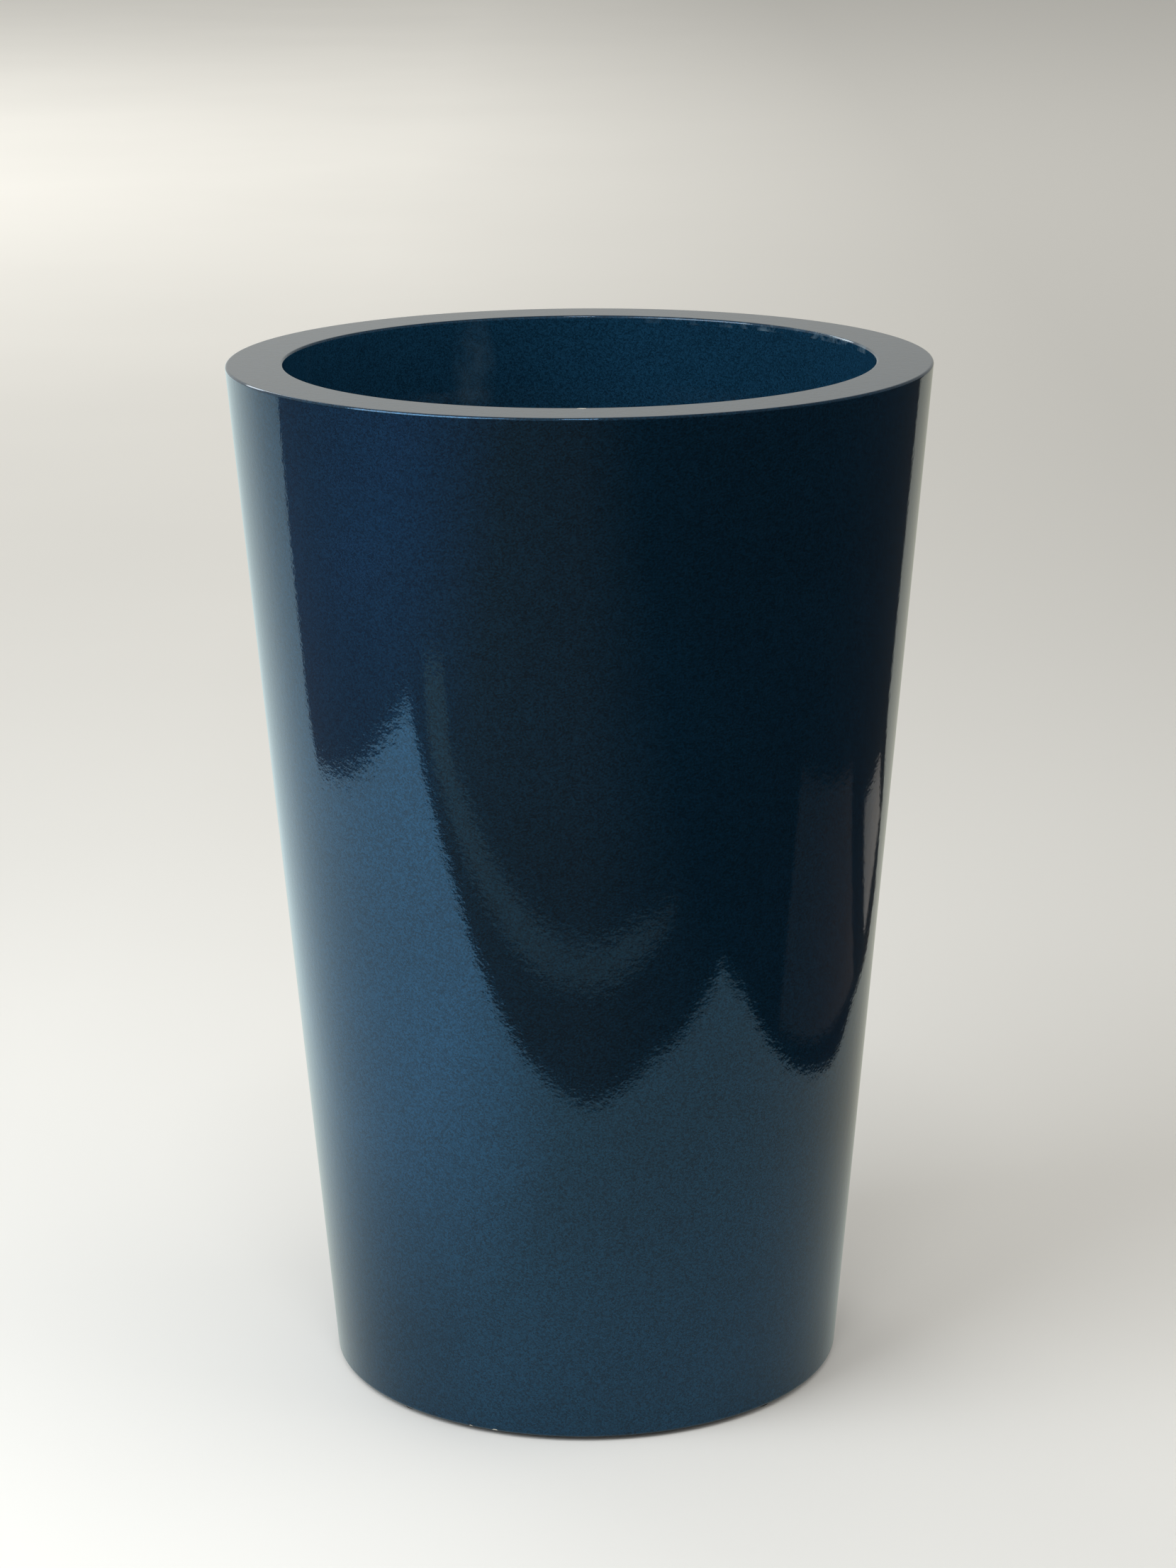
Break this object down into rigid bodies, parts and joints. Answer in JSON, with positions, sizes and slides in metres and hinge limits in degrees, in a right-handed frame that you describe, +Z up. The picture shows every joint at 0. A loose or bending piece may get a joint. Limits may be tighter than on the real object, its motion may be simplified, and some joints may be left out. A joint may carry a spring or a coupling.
{
  "type": "plastic planter",
  "caption": "Tall round tapered floor planter with a flat rim, a planting liner that lifts out by folding handles, a soil grid, a water tray and a drain plug.",
  "frame": {"origin": "centre of the base, on the floor", "axes": "+Z up along the planter's axis, from the base to the rim; the two handles lie at +X and -X"},
  "size_m": [0.3496, 0.3495, 0.522],
  "materials": {
    "gloss_shell": "high gloss lacquer",
    "black_plastic": "moulded satin",
    "grey_plastic": "moulded satin",
    "rubber": "matt",
    "steel": "zinc plated"
  },
  "bodies": {
    "shell": {"shell": "gloss_shell", "base_tray": "black_plastic", "tray_screws": "steel", "foot_pad_1": "rubber", "foot_pad_2": "rubber", "foot_pad_3": "rubber", "foot_pad_4": "rubber"},
    "drain_plug": {"drain_plug": "grey_plastic", "plug_washer": "rubber"},
    "liner": {"liner": "black_plastic"},
    "soil_grid": {"soil_grid": "grey_plastic"},
    "handle_right": {"handle_right": "grey_plastic"},
    "handle_left": {"handle_left": "grey_plastic"}
  },
  "joints": [
    {"name": "liner_lift", "type": "slide", "parent": "shell", "child": "liner", "axis": [0, 0, 1], "range_m": [0, 0.38]},
    {"name": "grid_lift", "type": "slide", "parent": "liner", "child": "soil_grid", "axis": [0, 0, 1], "range_m": [0, 0.35]},
    {"name": "plug_pull", "type": "slide", "parent": "shell", "child": "drain_plug", "axis": [0, 0, 1], "range_m": [0, 0.06]},
    {"name": "handle_right_fold", "type": "hinge", "parent": "liner", "child": "handle_right", "pos_m": [0.11115, 0, 0.4581], "axis": [0, -1, 0], "range_deg": [0, 90]},
    {"name": "handle_left_fold", "type": "hinge", "parent": "liner", "child": "handle_left", "pos_m": [-0.11115, 0, 0.4581], "axis": [0, 1, 0], "range_deg": [0, 90]}
  ]
}
